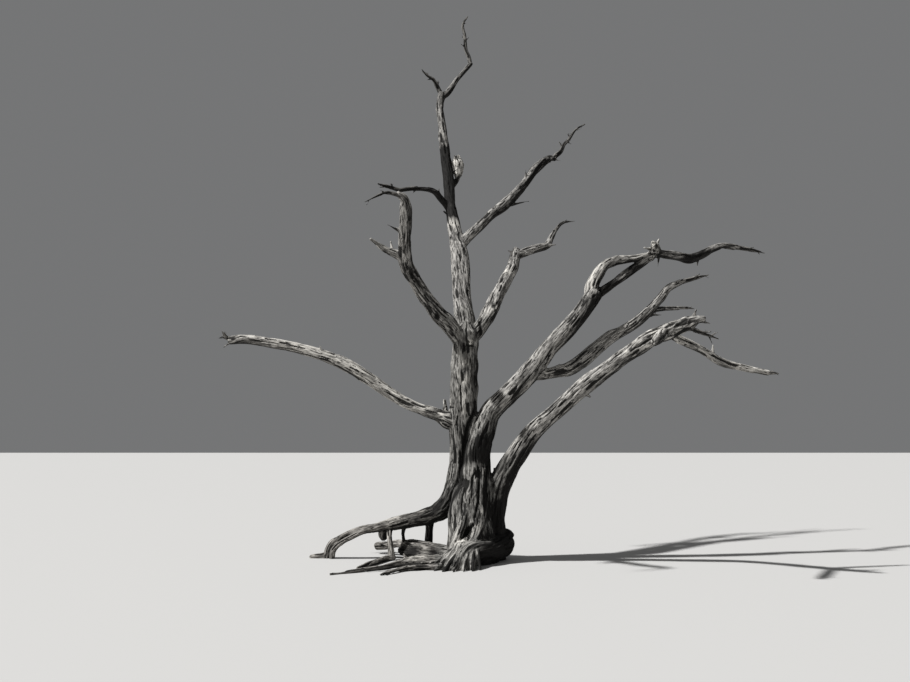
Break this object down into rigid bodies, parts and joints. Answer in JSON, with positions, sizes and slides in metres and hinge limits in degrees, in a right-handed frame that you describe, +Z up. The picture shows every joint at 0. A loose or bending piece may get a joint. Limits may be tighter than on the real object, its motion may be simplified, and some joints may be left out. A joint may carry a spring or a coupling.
{
  "type": "dead tree",
  "caption": "Bare dead tree with a flared foot, forked stems, snapped boughs and roots spread over the ground, fixed at a flat cut at ground level.",
  "frame": {"origin": "point on the flat cut under the trunk's foot, at ground level", "axes": "+Z up, +X to the right seen from the front, +Y towards the back"},
  "size_m": [7.6189, 4.7423, 8.2801],
  "materials": {
    "trunk_wood": "barkless weathered trunk wood, dark grey, with deep long furrows",
    "bough_wood": "barkless weathered bough wood, mid grey, split along the grain",
    "pale_wood": "sun-bleached, broken and splintered wood, light grey",
    "root_wood": "worn root wood, grey, smooth on its crests and dusty low down",
    "twigs": "thin dry twigs and splinters, grey"
  },
  "bodies": {
    "root": {"trunk": "trunk_wood", "root_long": "root_wood", "middle_stem": "bough_wood", "right_stem": "bough_wood", "leader": "bough_wood", "left_upper_bough": "bough_wood", "right_upper_bough": "bough_wood", "high_right_bough": "bough_wood", "left_long_bough": "pale_wood", "side_bough": "bough_wood", "middle_brace": "bough_wood", "middle_loop": "pale_wood", "middle_knob": "pale_wood", "middle_tip": "bough_wood", "leader_top": "bough_wood", "leader_burl": "pale_wood", "cross_bough": "bough_wood", "left_upper_stub": "pale_wood", "right_upper_tip": "bough_wood", "side_branch": "bough_wood", "low_right_bough": "pale_wood", "front_stub": "pale_wood", "root_crossing": "root_wood", "root_second": "root_wood", "root_third": "root_wood", "root_fourth": "root_wood", "leader_top_twigs": "twigs", "leader_side_twigs": "twigs", "cross_twigs": "twigs", "left_upper_twigs": "twigs", "right_upper_twigs": "twigs", "high_right_twigs": "twigs", "middle_tip_twigs": "twigs", "side_bough_twigs": "twigs", "side_branch_twigs": "twigs", "right_end_twigs": "twigs", "low_right_twigs": "twigs", "left_long_twigs": "twigs"}
  },
  "joints": []
}
